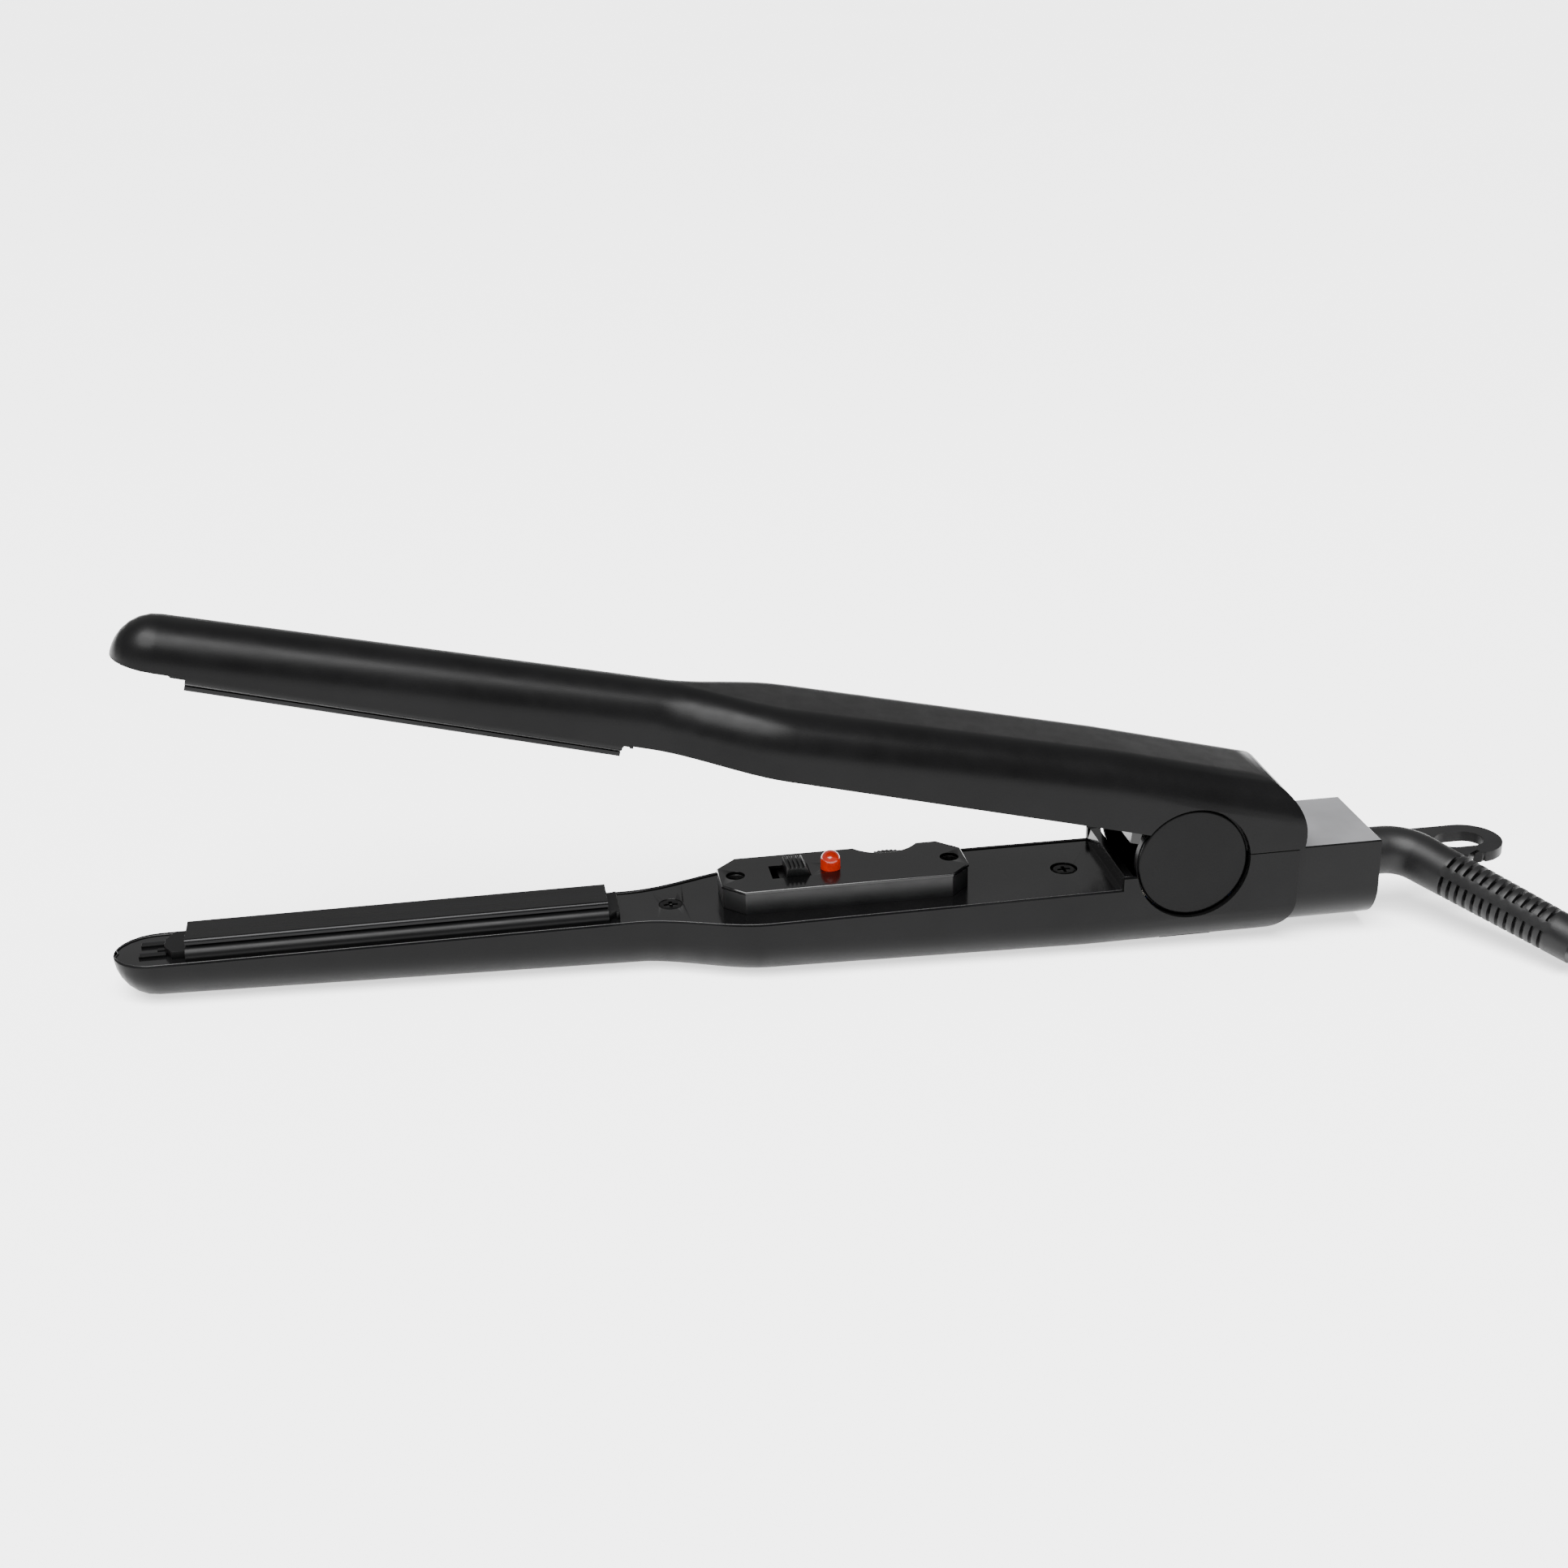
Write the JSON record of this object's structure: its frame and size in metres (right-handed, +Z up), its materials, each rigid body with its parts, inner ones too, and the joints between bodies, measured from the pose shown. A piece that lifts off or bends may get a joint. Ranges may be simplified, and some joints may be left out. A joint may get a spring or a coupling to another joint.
{
  "type": "hair crimper",
  "caption": "Slim two-armed hair iron: heated plates at the tips, sprung hinge near the tail, switch box with lamp, slide switch and thumbwheel, swivelling cord outlet with hanging loop.",
  "frame": {"origin": "centre of the tool's footprint, on the table plane under its straight underside", "axes": "+X along the tool from the tip to the cord outlet, +Y across it to the far side, +Z up"},
  "size_m": [0.4631, 0.076, 0.0798],
  "materials": {
    "soft_black": "soft-touch satin, fine grain",
    "panel_black": "semi-gloss moulded",
    "carrier_black": "heat-resistant, slightly rough",
    "plate_metal": "anodised, smooth",
    "heater_ceramic": "alumina",
    "wire_sleeve": "woven silicone sleeve",
    "fuse_metal": "plated",
    "screw_steel": "blackened",
    "lamp_red": "clear tinted",
    "knob_black": "fine texture",
    "shaft_metal": "plain",
    "board_green": "solder mask",
    "chip_black": "moulded",
    "pin_steel": "ground",
    "spring_steel": "oiled",
    "wire_pvc": "smooth",
    "boot_rubber": "satin",
    "retainer_nylon": "natural nylon",
    "cap_black": "satin",
    "cord_black": "satin",
    "tie_black": "matte",
    "plug_black": "satin",
    "pin_brass": "nickel-plated brass"
  },
  "bodies": {
    "lower_arm": {"lower_housing": "soft_black", "lower_inner_panel": "panel_black", "lower_plate_carrier": "carrier_black", "lower_heat_plate": "plate_metal", "lower_heater": "heater_ceramic", "lower_heater_leads": "wire_sleeve", "thermal_fuse": "fuse_metal", "lower_panel_screws": "screw_steel", "switch_box_base": "panel_black", "switch_box_cover": "panel_black", "switch_box_screws": "screw_steel", "power_lamp": "lamp_red", "slide_switch": "carrier_black", "potentiometer": "fuse_metal", "circuit_board": "board_green", "board_parts": "chip_black", "hinge_pin": "pin_steel", "opening_spring": "spring_steel", "hinge_leads": "wire_sleeve", "mains_leads": "wire_pvc", "tail_block": "panel_black", "mains_cord": "cord_black", "cord_tail": "cord_black", "cord_hank": "cord_black", "hank_tie": "tie_black", "plug_body": "plug_black", "plug_pins": "pin_brass"},
    "upper_arm": {"upper_housing": "soft_black", "upper_inner_panel": "panel_black", "upper_plate_carrier": "carrier_black", "upper_heat_plate": "plate_metal", "upper_heater": "heater_ceramic", "upper_heater_leads": "wire_sleeve", "upper_panel_screws": "screw_steel", "near_pivot_cap": "cap_black", "far_pivot_cap": "cap_black"},
    "power_switch": {"switch_knob": "knob_black"},
    "wheel": {"temperature_wheel": "knob_black", "wheel_shaft": "shaft_metal"},
    "cord_outlet": {"cord_boot": "boot_rubber", "swivel_retainer": "retainer_nylon"}
  },
  "joints": [
    {"name": "arm_hinge", "type": "hinge", "parent": "lower_arm", "child": "upper_arm", "pos_m": [0.08935, 0, 0.02014], "axis": [0, 1, 0], "range_deg": [-14.6, 0], "stiffness_Nm_per_rad": 0.5, "springref_deg": 17.19, "deforming": ["opening_spring", "hinge_leads"]},
    {"name": "power_switch_slide", "type": "slide", "parent": "lower_arm", "child": "power_switch", "axis": [0.9996, 0, 0.0297], "range_m": [-0.003, 0]},
    {"name": "temperature_wheel_turn", "type": "hinge", "parent": "lower_arm", "child": "wheel", "pos_m": [0.02789, 0.0016, 0.01631], "axis": [-0.0297, 0, 0.9996], "range_deg": [-135, 135]},
    {"name": "cord_swivel", "type": "hinge", "parent": "lower_arm", "child": "cord_outlet", "pos_m": [0.12781, 0, 0.01377], "axis": [0.9996, 0, 0.0297], "range_deg": [-150, 0], "deforming": ["mains_cord"]}
  ]
}
